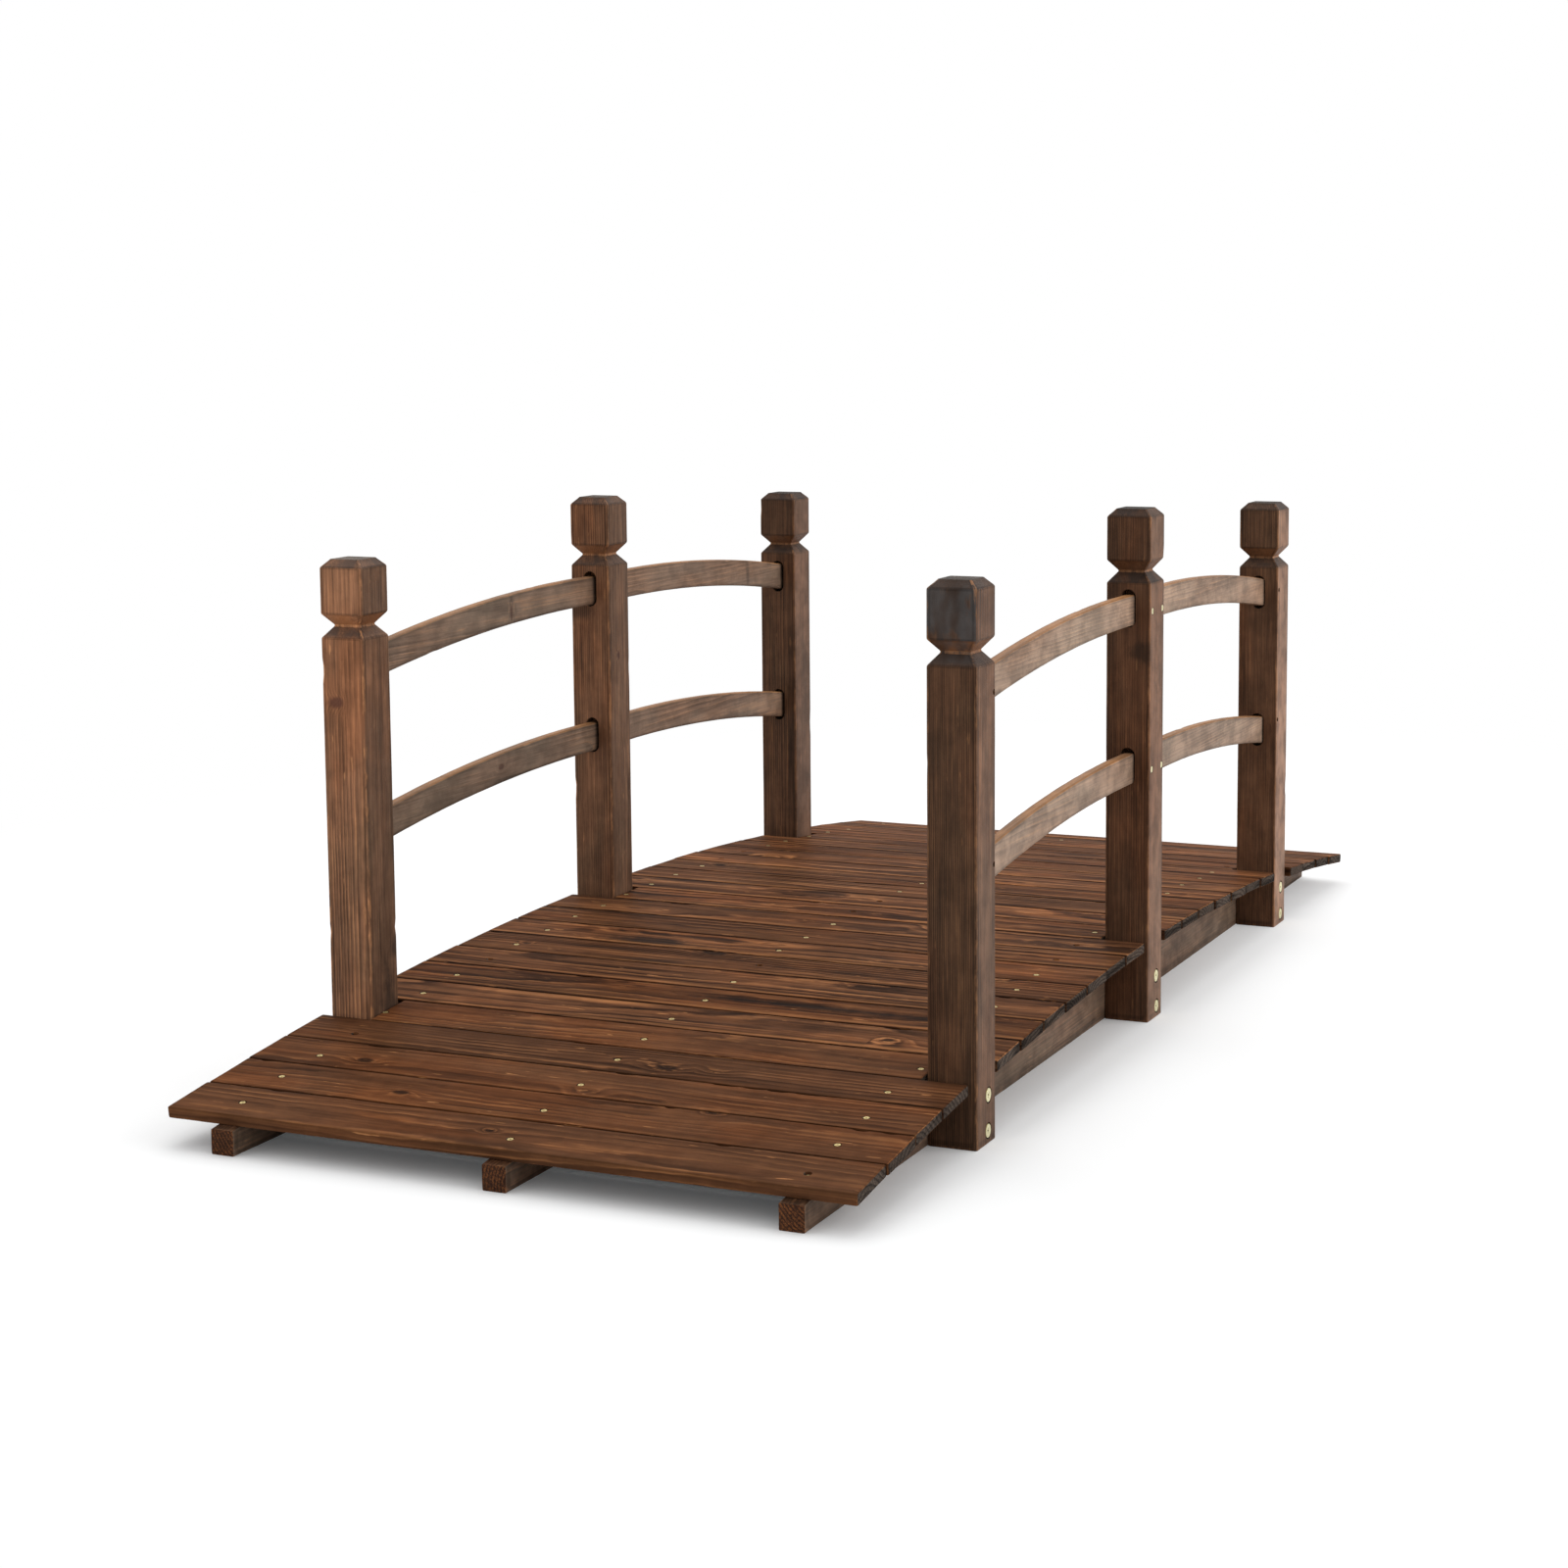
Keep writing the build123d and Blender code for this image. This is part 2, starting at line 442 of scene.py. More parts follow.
    # Crests that the brush burnished, and small bare splinters
    crest = g.times(ridge, ring_show, g.range(medium, 0.44, 0.6))
    crest = g.most(crest, g.times(g.range(streak, 0.58, 0.68), 0.8))
    tint = g.mix(g.times(crest, look["crest_share"]), tint, look["crest"])
    splinter = g.range(grain(34.0, 260.0, 2.0, 0.6, shift=12.0), 0.675, 0.73)
    torn = g.range(grain(90.0, 420.0, shift=13.0), 0.53, 0.6)
    splinter = g.most(splinter, g.times(knot_rim, torn))
    tint = g.mix(g.times(splinter, look["splinter_share"]), tint, look["rub"])

    # Smudges, scorched patches and knots; one chosen spot is painted shade, darkened like the scorch
    smudge = grain(38.0, 46.0, 4.0, 0.62, shift=8.0)
    dull = g.times(g.range(smudge, 0.36, 0.64, -1.0, 0.7), look["smudge"])
    patch = grain(8.0, 70.0, 3.0, 0.62, shift=5.0)
    scorch_plus_shade = g.times(g.range(patch, 0.54, 0.68), g.times(char, look["scorch_share"]))
    frayed = g.times(g.less(smudge, 0.5), 2.2)
    # Chosen spots darken with the char colour: scorch, and one spot of painted shade
    burn_and_shade_gap = g.plus(g.gap_to(in_bridge, look["burn_and_shade_spots"]), frayed)
    scorch_plus_shade = g.most(scorch_plus_shade, g.range(burn_and_shade_gap, 0.4, 1.5, look["burn_and_shade_share"], 0.0))
    tint = g.mix(g.least(scorch_plus_shade, 0.9), tint, look["char"])
    tint = g.mix(g.times(knot_core, 0.85), tint, look["knot"])

    # Painted light on the right side: a painted sheen makes it paler, with stronger smudges, where a
    # piece's side light is over a half, and painted shade makes it darker and cooler below it
    paler = g.range(pale, even_side, 1.0, smooth=False)
    painted_shade_side = g.times(sideways, g.range(pale, even_side - 0.01, even_side, 1.0, 0.0, smooth=False))
    painted_side_tone = g.range(pale, 0.0, even_side, -0.6, 0.15, smooth=False)
    painted_sheen = g.times(sideways, paler, g.range(cloud, 0.3, 0.7, 0.55, 1.0))
    tint = g.mix(painted_sheen, tint, g.mix(0.35, look["pale"], tinted((1.7, 1.7, 1.7, 1.0))))
    tint = g.mix(painted_shade_side, tint, tinted(look["painted_shade_tint"]))
    tone = g.times(tone, g.plus(1.0, g.times(painted_shade_side, painted_side_tone)))
    painted_sheen_lift = g.times(sideways, paler, look["painted_sheen_lift"])
    tone = g.times(tone, g.plus(1.0, painted_sheen_lift))
    dull = g.times(dull, g.plus(1.0, g.times(sideways, paler)))
    tone = g.times(tone, g.plus(1.0, dull))

    if look["kind"] == "post":
        # The head may be charred; the neck's facets and the chamfers are cut across the grain
        mottled = g.range(grain(20.0, 36.0, 3.0, 0.6, shift=9.0), 0.42, 0.6)
        on_head = g.range(along, head_starts, head_starts + 0.006)
        charred_head = g.times(on_head, g.range(char, 0.6, 0.66))
        bare = g.range(grain(26.0, 50.0, 3.0, 0.65, shift=11.0), 0.3, 0.42, 0.4, 1.0)
        charred_head = g.times(charred_head, bare, g.less(1.0, g.times(sideways, 0.75)))
        sooty = g.range(grain(12.0, 30.0, 3.0, 0.55, shift=9.5), 0.38, 0.56)
        tint = g.mix(charred_head, tint, g.mix(sooty, look["head_char"], look["soot"]))
        tone = g.times(tone, g.range(charred_head, 0.0, 1.0, 1.0, 1.6))
        upward = g.times(g.range(normal[2], 0.35, 0.55), g.range(mottled, 0.0, 1.0, 0.45, 0.9))
        upward = g.times(upward, g.range(on_head, 0.0, 1.0, 0.25, 1.0))
        tint = g.mix(upward, tint, look["head"])
        downward = g.range(normal[2], -0.55, -0.35, 1.0, 0.0)
        downward = g.times(downward, g.range(mottled, 0.0, 1.0, 0.7, 0.2))
        tint = g.mix(downward, tint, look["facet"])
    if look["kind"] == "rail":
        # Top faces are golden, and painted shade darkens the ends where they enter the slots
        top_gold = g.times(g.range(normal[2], 0.3, 0.7), g.range(cloud, 0.35, 0.6, 0.35, 0.85))
        tint = g.mix(top_gold, tint, look["crest"])
        to_end = g.least(along, g.less(size[0], along))
        painted_slot_shade = g.range(to_end, rail_insertion - 0.001, rail_insertion + 0.005, 0.35, 1.0)
        tone = g.times(tone, painted_slot_shade)

    if look["kind"] == "deck":
        # Painted shade darkens a narrow band along the seams, with a painted highlight beside it
        near_seam = g.attribute("rim")
        near_half = g.range(across, -0.002, 0.002, 1.0, 0.0)
        seam_shade = g.plus(near_seam, g.times(g.less(medium, 0.5), 0.5))
        seam_shade = g.less(seam_shade, g.times(near_half, 0.12))
        tone = g.times(tone, g.range(seam_shade, 0.24, 0.68, 1.0, 1.0 - look["seam"]))
        lit = g.times(g.range(near_seam, 0.02, 0.1), g.range(near_seam, 0.3, 0.5, 1.0, 0.0))
        lit = g.times(lit, near_half, g.range(coarse, 0.4, 0.58))
        lit = g.times(lit, g.range(char, 0.15, 0.4, 0.25, 1.0))
        tint = g.mix(g.times(lit, 0.5), tint, look["crest"])

    # Worn arrises show paler wood, beside a darker line
    worn = g.attribute("wear")
    ragged = grain(55.0, 260.0, 3.0, 0.65, shift=6.0)
    beside = g.times(g.range(worn, 0.08, 0.25), g.range(worn, 0.45, 0.7, 1.0, 0.0))
    tone = g.times(tone, g.less(1.0, g.times(beside, look["edge_shade"])))
    rub = g.range(g.plus(g.times(worn, 0.75), g.times(ragged, 0.9)), 0.92, 1.12)
    tint = g.mix(g.times(rub, look["rub_share"]), tint, look["rub"])

    # End grain is darker, rough and shows the rings
    facing = g.math("ABSOLUTE", normal["XYZ".index(order[0])])
    ended = g.range(facing, 0.75, 0.92)
    pores = grain(300.0, 700.0, 3.0, 0.7)
    end_value = g.less(g.times(pores, 1.25), g.times(late, 0.2))
    end_share = g.times(ended, 0.95)
    tint = g.mix(end_share, tint, g.ramp(end_value, look["end_ramp"]))

    # A tone of a half leaves the colours as they are written
    bright = g.scaled(tint, g.times(tone, 2.0))

    # Brushing leaves the late wood proud and the fibres rough
    height = g.plus(g.times(ridge, ring_show, 0.6), g.times(streak, 1.8))
    height = g.plus(height, g.times(pores, ended, 0.9))
    height = g.less(height, g.times(knot_core, 0.25))
    brushed = g.bump(height, 0.8, look["relief"])
    rough = g.plus(g.times(streak, -0.25), look["roughness"] + 0.12)
    rough = g.plus(rough, g.times(ended, 0.2))
    return g.finish(bright, rough, brushed, "Specular IOR Level", look["specular"])


# The looks: colours, shares and scales, with chosen knots and with scorched places (one of them
# painted shade) in the bridge's frame, each with its half sizes
through = 2.0
deck_look = {
    "kind": "deck",
    "ramp": [
        (0.12, colour(37, 23, 15)),
        (0.34, colour(74, 47, 31)),
        (0.50, colour(101, 65, 43)),
        (0.66, colour(127, 83, 54)),
        (0.88, colour(174, 119, 76)),
    ],
    "warm": (1.16, 0.98, 0.8, 1.0),
    "cool": (0.8, 0.86, 0.92, 1.0),
    "hue_share": 0.7,
    "crest": colour(172, 116, 72),
    "crest_share": 0.4,
    "char": colour(36, 29, 26),
    "scorch_share": 0.9,
    "knot": colour(38, 26, 20),
    # Colour of the painted sheen on right sides
    "pale": colour(120, 98, 84),
    "rub": colour(186, 128, 82),
    "rub_share": 0.55,
    "splinter_share": 0.75,
    "edge_shade": 0.15,
    "end_ramp": [
        (0.25, colour(34, 31, 30)),
        (0.52, colour(64, 58, 54)),
        (0.80, colour(106, 94, 84)),
    ],
    "calm": 0.5,
    "fine_share": 0.14,
    "burn_and_shade_share": 0.85,
    # Tint of the painted shade and lift of the painted sheen on right sides
    "painted_shade_tint": (0.91, 1.04, 1.18, 1.0),
    "painted_sheen_lift": 0.45,
    "seam": 0.6,
    "ring_width": 0.0052,
    "ring_depth": 0.26,
    "bend": 5.0,
    "bend_along": 3.0,
    "bend_across": 15.0,
    "ripple": 0.9,
    "fibre": 0.45,
    "fibre_length": 3.6,
    "streak": 1.45,
    "cloud": 0.36,
    "smudge": 0.12,
    "knot_reach": 3.6,
    "knot_bend": 2.6,
    "knots": 0.3,
    "knot_spots": [
        ((-0.604, 0.217, 0), (0.006, 0.010, through)),
        ((-0.546, -0.052, 0), (0.007, 0.013, through)),
        ((-0.663, 0.144, 0), (0.005, 0.009, through)),
        ((-0.630, -0.136, 0), (0.003, 0.006, through)),
        ((-0.716, 0.026, 0), (0.003, 0.005, through)),
        ((-0.215, 0.063, 0), (0.007, 0.016, through)),
        ((0.189, 0.252, 0), (0.006, 0.010, through)),
        ((-0.241, 0.258, 0), (0.003, 0.005, through)),
    ],
    "burn_and_shade_spots": [
        ((-0.355, -0.115, 0), (0.006, 0.110, through)),
        ((-0.193, 0.140, 0), (0.012, 0.045, through)),
    ],
    "relief": 0.0006,
    "roughness": 0.56,
    "specular": 0.008,
}
post_look = dict(
    deck_look,
    kind="post",
    ramp=[
        (0.12, colour(50, 35, 27)),
        (0.34, colour(89, 62, 45)),
        (0.50, colour(109, 76, 55)),
        (0.66, colour(130, 91, 66)),
        (0.88, colour(171, 121, 82)),
    ],
    warm=(1.14, 0.96, 0.82, 1.0),
    cool=(0.78, 0.88, 0.92, 1.0),
    crest=colour(178, 122, 78),
    crest_share=0.26,
    # Colour of the painted sheen on right sides
    pale=colour(150, 121, 103),
    char=colour(46, 37, 31),
    scorch_share=0.4,
    calm=0.9,
    fine_share=0.3,
    burn_and_shade_share=0.55,
    # Lift of the painted sheen on right sides
    painted_sheen_lift=0.65,
    knot=colour(74, 46, 36),
    head=colour(66, 53, 46),
    soot=colour(76, 71, 69),
    head_char=colour(58, 43, 34),
    facet=colour(126, 81, 50),
    rub=colour(182, 128, 86),
    rub_share=0.5,
    splinter_share=0.35,
    edge_shade=0.3,
    ring_width=0.0019,
    ring_depth=0.17,
    bend=2.2,
    bend_along=2.4,
    bend_across=9.0,
    ripple=0.5,
    fibre=1.35,
    fibre_length=1.0,
    streak=1.4,
    cloud=0.6,
    smudge=0.16,
    knot_reach=2.6,
    knot_bend=3.0,
    knots=0.12,
    knot_spots=[
        ((-0.500, 0.305, 0.351), (0.006, 0.0085, 0.0062)),
        ((-0.003, 0.2745, 0.339), (0.0035, 0.006, 0.005)),
        ((-0.043, -0.3195, 0.406), (0.003, 0.006, 0.004)),
    ],
    burn_and_shade_spots=[
        ((-0.0225, -0.309, 0.368), (0.006, 0.011, 0.009)),
        ((-0.0225, 0.307, 0.386), (0.006, 0.010, 0.008)),
        ((-0.458, 0.2745, 0.118), (0.009, 0.006, 0.011)),
        # Painted shade: a dark gradient at the foot of the near left post's inner face
        ((-0.470, 0.2745, 0.060), (0.014, 0.004, 0.040)),
    ],
    relief=0.0003,
    roughness=0.5,
    specular=0.08,
)
rail_look = dict(
    post_look,
    kind="rail",
    ramp=[
        (0.12, colour(66, 52, 43)),
        (0.34, colour(101, 81, 67)),
        (0.50, colour(121, 98, 81)),
        (0.66, colour(139, 112, 92)),
        (0.88, colour(174, 138, 106)),
    ],
    # Colour and lift of the painted sheen on right sides
    pale=colour(152, 132, 116),
    painted_sheen_lift=0.45,
    crest=colour(168, 118, 74),
    rub=colour(172, 126, 88),
    ring_width=0.0030,
    ring_depth=0.16,
    bend=2.6,
    streak=1.2,
    cloud=0.5,
    smudge=0.15,
    knot_spots=[
        ((-0.198, 0.292, 0.404), (0.003, 0.006, 0.009)),
        ((-0.225, 0.292, 0.251), (0.006, 0.006, 0.004)),
    ],
    burn_and_shade_spots=[
        ((0.360, 0.292, 0.394), (0.005, 0.006, 0.014)),
    ],
)
joist_look = dict(
    post_look,
    kind="joist",
    ring_width=0.003,
    bend=3.5,
    # Colour and lift of the painted sheen on right sides
    pale=colour(138, 126, 112),
    painted_sheen_lift=0.3,
    end_ramp=[
        (0.30, colour(44, 27, 20)),
        (0.55, colour(76, 48, 34)),
        (0.80, colour(150, 92, 52)),
    ],
)
rail_length = post_pitch - post_size + 2 * rail_insertion
deck_size = (plank_width, 0.642, 0.0176)
post_box = (post_size, post_size, 0.5)
rail_size = (rail_length, rail_thickness, 0.06)
joist_size = (2 * joist_half_length, joist_thickness, joist_crown)
deck_wood = timber_material("deck_wood", deck_size, "YXZ", deck_look)
post_wood = timber_material("post_wood", post_box, "ZXY", post_look)
rail_wood = timber_material("rail_wood", rail_size, "XZY", rail_look)
joist_wood = timber_material("joist_wood", joist_size, "XZY", joist_look)


def finish_timber(piece, node, material, tone, char, pale, seed):
    """Gives a piece its material and its own tone, and stands it in for its node."""
    piece.data.materials.clear()
    piece.data.materials.append(material)
    piece.color = (tone, char, pale, seed)
    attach(piece, "root")
    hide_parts(node)


# Deck planks
plank_tones = [
    0.45, 0.43, 0.41, 0.43, 0.41, 0.54, 0.38, 0.50, 0.40, 0.52, 0.39, 0.46, 0.50,
    0.54, 0.41, 0.37, 0.52, 0.46, 0.41, 0.50, 0.44, 0.41, 0.50, 0.39, 0.48,
]
screw_rows = [(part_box(name)[0].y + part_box(name)[1].y) / 2 + 0.003 for name in joist_names]
deck_screw_places = []
plank_stations = 132
plank_edge_round = 0.0009
plank_end_steps = np.array([0, 0.0003, 0.0009, 0.0018])
plank_end_insets = np.array([0.0011, 0.0005, 0.00015, 0])
plank_end_margin = 0.004
hole_depth = 0.0022
flush_share = 0.78


def plank_to_bridge(index):
    """The plank's own axes: across along X, length along Y and thickness up from its sole."""
    lean = math.asin((index - middle_plank) * plank_pitch / joist_radius)
    reach = joist_radius + plank_seat_gap
    height = joist_crown - joist_radius + reach * math.cos(lean)
    return Matrix.Translation((reach * math.sin(lean), 0, height)) @ Matrix.Rotation(lean, 4, "Y")


def placed(points, matrix):
    turn = np.array(matrix.to_3x3())
    return points @ turn.T + np.array(matrix.translation)


def cone_cutter(radius_top, radius_low, height, matrix):
    """A cone centred at a place, to be cut out of a piece."""
    made = bpy.data.meshes.new("cone")
    shape = bmesh.new()
    bmesh.ops.create_cone(
        shape, cap_ends=True, segments=20, radius1=radius_low, radius2=radius_top, depth=height,
    )
    shape.to_mesh(made)
    shape.free()
    cutter = link(bpy.data.objects.new("cone", made))
    cutter.matrix_world = matrix
    return cutter


def rim_strength(index, edge):
    """How dark the painted seam shade is along a plank's top edge: least on the bridge's own front
    edge.
    """
    if index == 0 and edge == 2:
        return 0.25
    return 0.62 if index < front_planks else 1.0


def make_plank(index):
    node = f"deck_plank_{index + 1:02d}"
    low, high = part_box(node)
    rng = np.random.default_rng(400 + index)
    middle = (low.y + high.y) / 2
    left_end = high.y - middle - rng.uniform(0.0001, 0.0016)
    right_end = high.y - middle - rng.uniform(0.0001, 0.0026)
    length = left_end + right_end
    inner_count = plank_stations - 2 * len(plank_end_steps)
    inner = np.linspace(plank_end_margin, length - plank_end_margin, inner_count)
    run = np.concatenate([plank_end_steps, inner, length - plank_end_steps[::-1]])
    insets = np.concatenate([plank_end_insets, np.zeros(inner_count), plank_end_insets[::-1]])
    half_a = plank_width / 2
    half_b = plank_thickness / 2
    ring, corner, nearness = rounded_ring(
        half_a, half_b, plank_edge_round, 14, 2, fine=(0.0008, 0.0022, 0.0042),
    )
    rings = np.repeat(ring[None], len(run), axis=0)
    wear = np.zeros((len(run), len(ring)))
    rim = np.zeros((len(run), len(ring)))
    for edge in range(4):
        top_edge = edge in (1, 2)
        back = chipped_edge(rng, len(run), length, 0.00025, 3.5 if top_edge else 1.0, 0.0016)
        touched = (corner == edge) * nearness
        rings -= worn_back(back, touched, ring)
        wear += arris_wear(back, touched)
        # Along the top arrises, the rim holds how strong the painted seam shade is
        if top_edge:
            near_arris = (corner == edge) * nearness ** 0.33
            uneven = np.clip(0.75 + 0.35 * wander(rng, len(run), 14), 0, 1)
            rim += rim_strength(index, edge) * near_arris[None] * uneven[:, None]
    # The sides that face a seam carry painted shade over their whole height
    in_seam = np.abs(ring[:, 0]) > half_a - 0.0003
    if index == 0:
        in_seam &= ring[:, 0] > 0
    rim[:, in_seam] = np.maximum(rim[:, in_seam], 0.6 if index < front_planks else 0.95)
    for station, inset in enumerate(insets):
        rings[station] -= np.sign(rings[station]) * np.minimum(np.abs(rings[station]), inset)
        if inset > 0:
            wear[station] = np.maximum(wear[station], 0.45 + 0.4 * rng.random())
    # The brushed top is a little uneven and slightly cupped
    top = ring[:, 1] > half_b - 0.0002
    swell = 0.00018 * wander(rng, len(run), 9) - 0.0002
    cup = rng.uniform(-0.0003, 0.0001) * (1 - (ring[:, 0] / half_a) ** 2)
    rings[:, top, 1] += swell[:, None] + cup[None, top]
    solid = np.zeros((len(run), len(ring), 3))
    solid[..., 0] = rings[..., 0]
    solid[..., 1] = middle + (run - right_end)[:, None]
    solid[..., 2] = rings[..., 1] + half_b
    matrix = plank_to_bridge(index)
    piece = lofted(f"{node}_timber", placed(solid, matrix), wear, rim)

    # Countersunk holes over the three joists, with the screw flush or well down in each
    cutters = []
    for line in screw_rows:
        x = rng.uniform(-0.010, -0.001)
        y = line + rng.uniform(-0.004, 0.004)
        sunk = 0.0003 if rng.random() < flush_share else hole_depth
        surface = plank_thickness - 0.0002
        hole_place = matrix @ Matrix.Translation((x, y, surface - hole_depth))
        screw_place = matrix @ Matrix.Translation((x, y, surface - sunk))
        cutters.append(cone_cutter(0.0037, deck_screw_radius, 0.005, hole_place))
        deck_screw_places.append((screw_place, rng.uniform(0, 90)))
    bpy.context.view_layer.update()
    cut(piece, cutters)
    sharpen(piece)
    tone = plank_tones[index] + rng.uniform(-0.02, 0.02)
    char = rng.uniform(0.05, 0.2) if index < front_planks else rng.uniform(0.35, 0.7)
    finish_timber(piece, node, deck_wood, tone, char, even_side, rng.random())


for plank_index in range(plank_count):
    make_plank(plank_index)


# Joists
def make_joist(node, seed):
    low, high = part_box(node)
    rng = np.random.default_rng(seed)
    middle = (low.y + high.y) / 2
    length = 2 * joist_half_length
    stations = 160
    run = np.linspace(-joist_half_length, joist_half_length, stations)
    top = joist_crown - joist_radius + np.sqrt(joist_radius**2 - run**2)
    # The ring is one high, and stretches to the arch without its rounded edges
    ring, corner, nearness = rounded_ring(joist_thickness / 2, 0.5, joist_edge_round, 5, 6)
    from_sole = ring[:, 1] + 0.5
    from_top = 1 - from_sole
    rings = np.zeros((stations, len(ring), 3))
    rings[..., 0] = run[:, None]
    rings[..., 1] = middle + ring[None, :, 0]
    low_half = np.minimum(from_sole, joist_edge_round + (from_sole - joist_edge_round) * top[:, None])
    high_half = np.minimum(from_top, joist_edge_round + (from_top - joist_edge_round) * top[:, None])
    rings[..., 2] = np.where(from_sole < 0.5, low_half, top[:, None] - high_half)
    wear = np.zeros((stations, len(ring)))
    for edge in range(4):
        back = chipped_edge(rng, stations, length, 0.0003, 2.0, 0.001)
        touched = (corner == edge) * nearness
        wear += arris_wear(back, touched)
        rings[..., 1] -= worn_back(back, touched, ring)[..., 0]
    wear[0] = wear[-1] = 0.7
    piece = lofted(f"{node}_timber", rings, wear)
    sharpen(piece)
    # The joists' right sides carry a painted sheen
    finish_timber(piece, node, joist_wood, 0.34, 0.5, 0.9, rng.random())


for joist_seed, joist_name in enumerate(sorted(joist_names)):
    make_joist(joist_name, 700 + joist_seed)


# Rails
rail_tones = {
    ("near", "left"): 0.43,
    ("far", "left"): 0.49,
    ("near", "right"): 0.46,
    ("far", "right"): 0.46,
}
# How much painted light the rails' right sides carry: over a half is a painted sheen
rail_paleness = {"left": 0.62, "right": 0.84}
rail_edge_round = 0.0018


def make_rail(node, seed):
    low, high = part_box(node)
    rng = np.random.default_rng(seed)
    bay_name, side_name = node.split("_")[-2:]
    bay = places_along[bay_name]
    middle = (low.y + high.y) / 2
    stations = 90
    start = post_size / 2 - rail_insertion
    end = post_pitch - post_size / 2 + rail_insertion
    run = np.linspace(start, end, stations)
    centre = high.z - rail_radius
    ring, corner, nearness = rounded_ring(
        rail_thickness / 2, rail_height / 2, rail_edge_round, 4, 6, fine=(0.0008,),
    )
    shaped = np.repeat(ring[None], stations, axis=0)
    wear = np.zeros((stations, len(ring)))
    for edge in range(4):
        back = chipped_edge(rng, stations, end - start, 0.0002, 1.5, 0.0006)
        touched = (corner == edge) * nearness
        shaped -= worn_back(back, touched, ring)
        wear += arris_wear(back, touched)
    radius = rail_radius - rail_height / 2 + shaped[..., 1]
    rings = np.zeros((stations, len(ring), 3))
    rings[..., 0] = bay * run[:, None]
    rings[..., 1] = middle + shaped[..., 0]
    rings[..., 2] = centre + np.sqrt(radius**2 - (run[:, None] - rail_crown_offset) ** 2)
    piece = lofted(f"{node}_timber", rings, wear)
    sharpen(piece)
    tone = rail_tones[bay_name, side_name] + rng.uniform(-0.02, 0.02)
    char = rng.uniform(0.1, 0.4)
    pale = rail_paleness[side_name]
    finish_timber(piece, node, rail_wood, tone, char, pale, rng.random())


for rail_seed, rail_name in enumerate(sorted(rail_names)):
    make_rail(rail_name, 800 + rail_seed)


# Posts: each one's brightness, char and the painted light on its right side
post_looks = {
    "post_near_left": (0.90, 0.12, 0.125),
    "post_near_right": (0.32, 0.75, 0.68),
    "post_middle_left": (0.515, 0.45, 0.43),
    "post_middle_right": (0.27, 0.5, 0.88),
    "post_far_left": (0.275, 0.5, 0.85),
    "post_far_right": (0.32, 0.35, 1.0),
}


def post_profile(height):
    """Heights up the post and the half width at each, with softly rounded breaks."""
    half = post_size / 2
    block_top = height - head_chamfer
    block_bottom = block_top - head_block_height
    shoulder = block_bottom - 2 * neck_half_height
    turns_z = [0, shoulder, shoulder + neck_half_height, block_bottom, block_top, height]
    turns_half = [half, half, half - neck_depth, half, half, half - head_chamfer]
    up = [0.0, 0.0006, 0.0015]
    up += list(np.arange(0.008, shoulder - 0.004, 0.008))
    for turn, reach in ((1, 0.0022), (2, 0.0018), (3, 0.0022), (4, 0.0022)):
        up += list(turns_z[turn] + np.linspace(-reach, reach, 9))
        after = turns_z[turn + 1]
        up += list(np.linspace(turns_z[turn] + reach, after - 0.0025, 5)[1:-1])
    up += [height - 0.0008, height - 0.0002, height]
    up = np.unique(np.round(up, 6))
    blur = np.linspace(-0.0011, 0.0011, 9)
    halves = np.mean([np.interp(up + shift, turns_z, turns_half) for shift in blur], axis=0)
    halves[-1] -= 0.0006
    halves[0] -= 0.0006
    return up, halves


def slot_places(node):
    """Each slot's side of the post, width and lowest and highest point, read from its floor."""
    low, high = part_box(node)
    centre = (low + high) / 2
    floor_reach = post_size / 2 - slot_depth
    found = []
    points = np.array([vertex.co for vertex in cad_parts[node].data.vertices])
    for facing in (-1, 1):
        on_floor = points[np.abs(points[:, 0] - centre.x - facing * floor_reach) < 0.0002]
        if len(on_floor) == 0:
            continue
        heights = np.sort(on_floor[:, 2])
        split = np.argmax(np.diff(heights))
        width = on_floor[:, 1].max() - on_floor[:, 1].min()
        found.append((facing, width, heights[0], heights[split]))
        found.append((facing, width, heights[split + 1], heights[-1]))
    return found


def slot_cutter(centre, facing, width, low, high):
    """A round-ended prism as wide and tall as the slot, past the post's face."""
    radius = width / 2
    outline = []
    for base, start in ((high - radius, 0), (low + radius, 180)):
        for step in range(13):
            turn = math.radians(start + 180 * step / 12)
            outline.append((radius * math.cos(turn), base + radius * math.sin(turn)))
    inner = facing * (post_size / 2 - slot_depth)
    outer = facing * (post_size / 2 + 0.004)
    rings = np.array([[(centre.x + x, centre.y + y, z) for y, z in outline] for x in (inner, outer)])
    return lofted("slot", rings, np.zeros(rings.shape[:2]))


def on_outer_face(x, z, side, sunk):
    """A place on the outer face of the posts on one side, or so far below it."""
    y = side * (post_line + post_size / 2 - sunk)
    return Matrix.Translation((x, y, z)) @ Matrix.Rotation(math.radians(-90 * side), 4, "X")


# Two screws hold each post's foot to its joist, and one or two hold each rail.
# A seat is how far the head is sunk and its recess's radius and depth.
foot_screws = []
rail_screws = []
recesses = {name: [] for name in post_names}
screw_rng = np.random.default_rng(61)
foot_seat = (0.0, 0.0082, 0.0034)
flush_seat = (0.0003, 0.0041, 0.0012)
deep_seat = (0.0045, 0.0028, 0.0060)
foot_heights = (0.011, 0.042)
middle_steps = (-0.0145, 0.0175)
middle_screw_height = 0.4085
end_step = 0.0185
end_screw_height = 0.385
end_drop_share = 0.94


def drive_screw(screws, node, x, z, side, seat):
    sunk, recess_radius, recess_depth = seat
    screws.append((on_outer_face(x, z, side, sunk), screw_rng.uniform(0, 90)))
    recesses[node].append((on_outer_face(x, z, side, 0), recess_radius, recess_depth))


